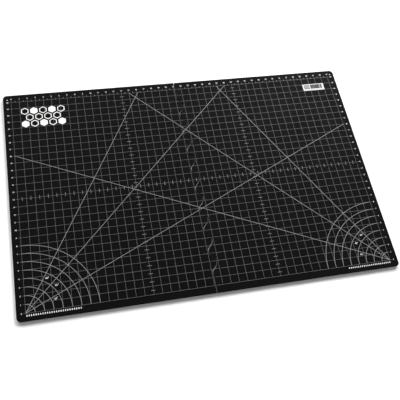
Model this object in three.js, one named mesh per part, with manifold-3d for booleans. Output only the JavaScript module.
// Folding self-healing cutting mat.
//
// Millimetres, +Z up. The mat lies flat with its printed face up. The origin is the middle of the
// underside, on the fold line. X runs along the length, Y runs along the depth and the fold line is
// the Y axis.
//
// Each half is a stack of five bonded plies. The three upper plies are cut right through along a
// wavy seam, so that a blade drawn across the mat never follows the fold. The two lower plies carry
// on under the seam and are the hinge: the right half folds down and under the left half. The upper
// ply is dark like the top sheet, so only the core and the hinge ply show pale inside the seam.

import * as THREE from 'three';
import Module from 'manifold-3d';
import { mergeVertices } from 'three/addons/utils/BufferGeometryUtils.js';

const wasm = await Module();
wasm.setup();

// Mat
const MAT_LENGTH = 450;
const MAT_DEPTH = 300;
const CORNER_RADIUS = 5;

// Plies, from the underside up
const BOTTOM_SHEET = 0.5;
const HINGE_PLY = 0.3;
const CORE = 1.0;
const UPPER_PLY = 0.7;
const TOP_SHEET = 0.5;

// Wavy seam: teeth of the left half reach over the fold line, and the right half fills between them
const TOOTH_COUNT = 9;
const TOOTH_PITCH = 28;
const SEAM_SWING = 7;
const FLANK_SLOPE = 0.8;
const SEAM_ROUNDING = 1.2;
const SEAM_GAP = 0.8;
const FOLD_GAP = 0.3;

// Printed scale: a centimetre grid, set a little towards the front edge
const CELL = 10;
const COLUMNS = 43;
const ROWS = 28;
const PRINT_OFFSET = -0.9;
const INK = 0.02;
const RULE_WIDTH = 0.25;
const ANGLE_RULE_WIDTH = 0.45;
const TICK_WIDTH = 0.45;
const TICK_LENGTH = 5;
const NUMBER_LEAD = 2.6;
const HALF_MARK = 1.8;
const TICKED_ROW = 14;
const TICKED_COLUMNS = [14, 29];
const RULE_TO_SEAM = 0.5;

// Angle rules from both front corners of the grid, and the quarter circles round them
const ANGLES = [60, 45, THREE.MathUtils.radToDeg(Math.atan(20 / COLUMNS))];
const ARC_COUNT = 8;
const ARC_STEPS = 7;

// Price label on the right half
const LABEL = { length: 30.7, depth: 10.8, x: 189.9, y: 124.05 };
const ADHESIVE = 0.04;
const PAPER = 0.1;

const CURVE_STEPS = 4;

// Places that follow from the driving dimensions
const halfLength = MAT_LENGTH / 2;
const halfDepth = MAT_DEPTH / 2;
const gridLeft = (-COLUMNS * CELL) / 2;
const gridFront = (-ROWS * CELL) / 2 + PRINT_OFFSET;
const gridBack = gridFront + ROWS * CELL;
const hingePlyZ = BOTTOM_SHEET;
const coreZ = hingePlyZ + HINGE_PLY;
const upperPlyZ = coreZ + CORE;
const topSheetZ = upperPlyZ + UPPER_PLY;
const printZ = topSheetZ + TOP_SHEET;

const flankRun = SEAM_SWING / FLANK_SLOPE;
const toothTip = (TOOTH_PITCH / 2 - flankRun) / 2;
const toothRoot = toothTip + flankRun;

const sides = [
  { name: 'left', sign: -1, firstColumn: 0, lastColumn: 21 },
  { name: 'right', sign: 1, firstColumn: 22, lastColumn: COLUMNS },
];

const healingBlack = { color: 0x1a191b, roughness: 0.62, metalness: 0 };
const plyDark = { color: 0x242425, roughness: 0.8, metalness: 0 };
const plyGrey = { color: 0xa9a9a6, roughness: 0.8, metalness: 0 };
const coreGrey = { color: 0xa4a4a2, roughness: 0.75, metalness: 0 };
const inkWhite = { color: 0xe8e8e4, roughness: 0.5, metalness: 0 };
const labelPaper = { color: 0xf4f3ee, roughness: 0.85, metalness: 0 };
const labelGlue = { color: 0xd9d6c8, roughness: 0.4, metalness: 0 };

// ---------------------------------------------------------------------------------------------
// Seam

// Corners of the seam's trapezoid wave, from the front edge to the back edge, moved along X.
function seamCorners(shift) {
  const root = -SEAM_SWING / 2 + shift;
  const tip = SEAM_SWING / 2 + shift;
  const corners = [];
  for (let tooth = 0; tooth < TOOTH_COUNT; tooth += 1) {
    const middle = (tooth - (TOOTH_COUNT - 1) / 2) * TOOTH_PITCH;
    corners.push(new THREE.Vector2(root, middle - toothRoot));
    corners.push(new THREE.Vector2(tip, middle - toothTip));
    corners.push(new THREE.Vector2(tip, middle + toothTip));
    corners.push(new THREE.Vector2(root, middle + toothRoot));
  }
  return corners;
}

// X of the seam's centre line at a given Y.
function seamX(y) {
  const halfPitch = TOOTH_PITCH / 2;
  const ends = (TOOTH_COUNT * TOOTH_PITCH) / 2;
  const phase = Math.abs(THREE.MathUtils.euclideanModulo(y + halfPitch, TOOTH_PITCH) - halfPitch);
  const reach = THREE.MathUtils.clamp((toothRoot - phase) * FLANK_SLOPE, 0, SEAM_SWING);
  return Math.abs(y) > ends ? -SEAM_SWING / 2 : reach - SEAM_SWING / 2;
}

function pointTowards(from, to, distance) {
  return from.clone().add(to.clone().sub(from).setLength(distance));
}

// Draws a path through corners and rounds every one of them but the first and the last.
function lineThroughRounded(path, corners, rounding) {
  path.moveTo(corners[0].x, corners[0].y);
  for (let i = 1; i < corners.length - 1; i += 1) {
    const corner = corners[i];
    const entry = pointTowards(corner, corners[i - 1], rounding);
    const exit = pointTowards(corner, corners[i + 1], rounding);
    path.lineTo(entry.x, entry.y);
    path.quadraticCurveTo(corner.x, corner.y, exit.x, exit.y);
  }
  const last = corners[corners.length - 1];
  path.lineTo(last.x, last.y);
}

// Carries an outline that has reached the back edge round the two outer corners of a half.
function closeRoundOuterCorners(shape, sign) {
  const x = sign * (halfLength - CORNER_RADIUS);
  const y = halfDepth - CORNER_RADIUS;
  const clockwise = sign > 0;
  const outward = sign > 0 ? 0 : Math.PI;
  shape.lineTo(x, halfDepth);
  shape.absarc(x, y, CORNER_RADIUS, Math.PI / 2, outward, clockwise);
  shape.lineTo(sign * halfLength, -y);
  shape.absarc(x, -y, CORNER_RADIUS, outward, clockwise ? -Math.PI / 2 : (3 * Math.PI) / 2, clockwise);
  shape.closePath();
}

// Outline of a ply that the seam cuts.
function seamedOutline(side) {
  const shift = (side.sign * SEAM_GAP) / 2;
  const corners = seamCorners(shift);
  const end = -SEAM_SWING / 2 + shift;
  corners.unshift(new THREE.Vector2(end, -halfDepth));
  corners.push(new THREE.Vector2(end, halfDepth));
  const shape = new THREE.Shape();
  lineThroughRounded(shape, corners, SEAM_ROUNDING);
  closeRoundOuterCorners(shape, side.sign);
  return shape;
}

// Outline of a ply that runs on to the fold line.
function hingeOutline(side) {
  const foldEdge = (side.sign * FOLD_GAP) / 2;
  const shape = new THREE.Shape();
  shape.moveTo(foldEdge, -halfDepth);
  shape.lineTo(foldEdge, halfDepth);
  closeRoundOuterCorners(shape, side.sign);
  return shape;
}

function extrude(shape, thickness, curveSteps = CURVE_STEPS) {
  return new THREE.ExtrudeGeometry(shape, {
    depth: thickness,
    bevelEnabled: false,
    curveSegments: curveSteps,
  });
}

// ---------------------------------------------------------------------------------------------
// Joins and cuts

// A closed geometry as a manifold-3d solid, placed by an object's own position and rotation.
function solidOf(geometry, placement = new THREE.Object3D()) {
  placement.updateMatrix();
  const bare = geometry.clone().applyMatrix4(placement.matrix);
  bare.deleteAttribute('normal');
  bare.deleteAttribute('uv');
  const merged = mergeVertices(bare);
  return new wasm.Manifold(
    new wasm.Mesh({
      numProp: 3,
      vertProperties: new Float32Array(merged.attributes.position.array),
      triVerts: new Uint32Array(merged.index.array),
    }),
  );
}

function geometryOf(solid) {
  const mesh = solid.getMesh();
  const geometry = new THREE.BufferGeometry();
  geometry.setAttribute('position', new THREE.BufferAttribute(mesh.vertProperties, 3));
  geometry.setIndex(new THREE.BufferAttribute(mesh.triVerts, 1));
  geometry.computeVertexNormals();
  return geometry;
}

// ---------------------------------------------------------------------------------------------
// Printed scale

// Outline of a comb: a spine with bars on its inner side and short leads on its outer side.
// u runs along the spine and v points inwards. A bar has its place u, the lengths inner and outer,
// and ticks, each at a distance v with the reach low and high on the bar's two sides.
function combOutline(start, end, bars) {
  const w = RULE_WIDTH / 2;
  const t = TICK_WIDTH / 2;
  const points = [[start, -w]];
  for (const { u, outer } of bars) {
    if (outer > 0) {
      points.push([u - w, -w], [u - w, -outer], [u + w, -outer], [u + w, -w]);
    }
  }
  points.push([end, -w], [end, w]);
  for (const { u, inner, ticks } of [...bars].reverse()) {
    if (inner <= 0) continue;
    points.push([u + w, w]);
    for (const { v, high } of ticks) {
      if (high > 0) points.push([u + w, v - t], [u + high, v - t], [u + high, v + t], [u + w, v + t]);
    }
    points.push([u + w, inner], [u - w, inner]);
    for (const { v, low } of [...ticks].reverse()) {
      if (low > 0) points.push([u - w, v + t], [u - low, v + t], [u - low, v - t], [u - w, v - t]);
    }
    points.push([u - w, w]);
  }
  points.push([start, w]);
  return points.filter(([u, v], i) => i === 0 || u !== points[i - 1][0] || v !== points[i - 1][1]);
}

function shapeFrom(points, place) {
  return new THREE.Shape(points.map(([u, v]) => place(u, v)));
}

// Distances of the half-centimetre ticks along a rule, as far as the rule reaches.
function halfMarks(length, low, high) {
  const marks = [];
  for (let v = CELL / 2; v + TICK_WIDTH < length; v += CELL) {
    marks.push({ v, low, high });
  }
  return marks;
}

// Where a rule at a given Y stops, short of the seam.
function ruleEnd(side, y) {
  return seamX(y) + side.sign * (SEAM_GAP / 2 + RULE_TO_SEAM);
}

// Column rules stand on the front border. The side border belongs to the row rules.
function columnRules(side) {
  const border = -side.sign * gridLeft;
  const foot = ruleEnd(side, gridFront);
  const length = gridBack - gridFront + NUMBER_LEAD;
  const cross = TICK_LENGTH / 2;
  const bars = [];
  for (let column = 1; column < COLUMNS; column += 1) {
    if (column >= side.firstColumn && column <= side.lastColumn) {
      const ticked = TICKED_COLUMNS.includes(column);
      const ticks = ticked ? halfMarks(ROWS * CELL, cross, cross) : [];
      bars.push({ u: gridLeft + column * CELL, inner: length, outer: 0, ticks });
    }
  }
  const points = combOutline(Math.min(border, foot), Math.max(border, foot), bars);
  return extrude(shapeFrom(points, (u, v) => new THREE.Vector2(u, gridFront + v)), INK);
}

// Row rules run in from the side border to the seam, with leads out to the side numbers.
function rowRules(side) {
  const border = -side.sign * gridLeft;
  const cross = TICK_LENGTH / 2;
  const bars = [];
  for (let row = 0; row <= ROWS; row += 1) {
    const y = gridFront + row * CELL;
    const length = Math.abs(border - ruleEnd(side, y));
    let ticks = [];
    if (row === TICKED_ROW) ticks = halfMarks(length, cross, cross);
    if (row === ROWS) ticks = halfMarks(length, 0, HALF_MARK);
    bars.push({ u: y, inner: row > 0 ? length : 0, outer: NUMBER_LEAD, ticks });
  }
  const start = gridFront - RULE_WIDTH / 2;
  const points = combOutline(start, gridBack + NUMBER_LEAD, bars);
  return extrude(shapeFrom(points, (u, v) => new THREE.Vector2(border - side.sign * v, u)), INK);
}

// A straight rule from a front corner of the grid to the far border.
function angleRule(cornerX, towards, degrees) {
  const angle = THREE.MathUtils.degToRad(degrees);
  const length = Math.min((ROWS * CELL) / Math.sin(angle), (COLUMNS * CELL) / Math.cos(angle));
  const placement = new THREE.Object3D();
  placement.position.set(
    cornerX + (towards * Math.cos(angle) * length) / 2,
    gridFront + (Math.sin(angle) * length) / 2,
    INK / 2,
  );
  placement.rotation.z = towards > 0 ? angle : Math.PI - angle;
  return solidOf(new THREE.BoxGeometry(length, ANGLE_RULE_WIDTH, INK), placement);
}

// A quarter circle round a front corner of the grid.
function quarterArc(cornerX, towards, radius) {
  const upright = Math.PI / 2;
  const level = towards > 0 ? 0 : Math.PI;
  const outer = radius + ANGLE_RULE_WIDTH / 2;
  const inner = radius - ANGLE_RULE_WIDTH / 2;
  const shape = new THREE.Shape();
  shape.absarc(cornerX, gridFront, outer, level, upright, towards < 0);
  shape.absarc(cornerX, gridFront, inner, upright, level, towards > 0);
  shape.closePath();
  return solidOf(extrude(shape, INK, ARC_STEPS));
}

// All the angle rules and arcs that lie on one half, cut off at the seam and at the border.
function angleRules(side) {
  let rules = null;
  for (const towards of [1, -1]) {
    const cornerX = towards * gridLeft;
    const pieces = ANGLES.map((degrees) => angleRule(cornerX, towards, degrees));
    if (towards === -side.sign) {
      for (let i = 1; i <= ARC_COUNT; i += 1) {
        pieces.push(quarterArc(cornerX, towards, i * CELL));
      }
    }
    for (const piece of pieces) {
      rules = rules ? rules.add(piece) : piece;
    }
  }
  const half = solidOf(extrude(seamedOutline(side), INK));
  const printed = new THREE.Object3D();
  printed.position.set(0, gridFront + (ROWS * CELL) / 2, INK / 2);
  const page = new THREE.BoxGeometry(COLUMNS * CELL + RULE_WIDTH, ROWS * CELL + RULE_WIDTH, INK);
  return geometryOf(rules.intersect(half).intersect(solidOf(page, printed)));
}

// ---------------------------------------------------------------------------------------------
// Assembly

function part(name, geometry, finish, z) {
  const mesh = new THREE.Mesh(geometry, new THREE.MeshStandardMaterial(finish));
  mesh.name = name;
  mesh.position.z = z;
  return mesh;
}

function matHalf(side) {
  const half = new THREE.Group();
  const seamed = seamedOutline(side);
  const hinged = hingeOutline(side);
  half.add(
    part(`${side.name}_bottom_sheet`, extrude(hinged, BOTTOM_SHEET), healingBlack, 0),
    part(`${side.name}_hinge_ply`, extrude(hinged, HINGE_PLY), plyGrey, hingePlyZ),
    part(`${side.name}_core`, extrude(seamed, CORE), coreGrey, coreZ),
    part(`${side.name}_upper_ply`, extrude(seamed, UPPER_PLY), plyDark, upperPlyZ),
    part(`${side.name}_top_sheet`, extrude(seamed, TOP_SHEET), healingBlack, topSheetZ),
    part(`${side.name}_column_rules`, columnRules(side), inkWhite, printZ),
    part(`${side.name}_row_rules`, rowRules(side), inkWhite, printZ + INK),
    part(`${side.name}_angle_rules`, angleRules(side), inkWhite, printZ + 2 * INK),
  );
  return half;
}

function priceLabel() {
  const label = new THREE.Group();
  const sheet = (thickness) => new THREE.BoxGeometry(LABEL.length, LABEL.depth, thickness);
  const glueZ = printZ + 3 * INK;
  label.add(
    part('price_label_glue', sheet(ADHESIVE), labelGlue, glueZ + ADHESIVE / 2),
    part('price_label_paper', sheet(PAPER), labelPaper, glueZ + ADHESIVE + PAPER / 2),
  );
  label.position.set(LABEL.x, LABEL.y, 0);
  return label;
}

const mat = new THREE.Group();
for (const side of sides) {
  mat.add(matHalf(side));
}
mat.add(priceLabel());

export default mat;
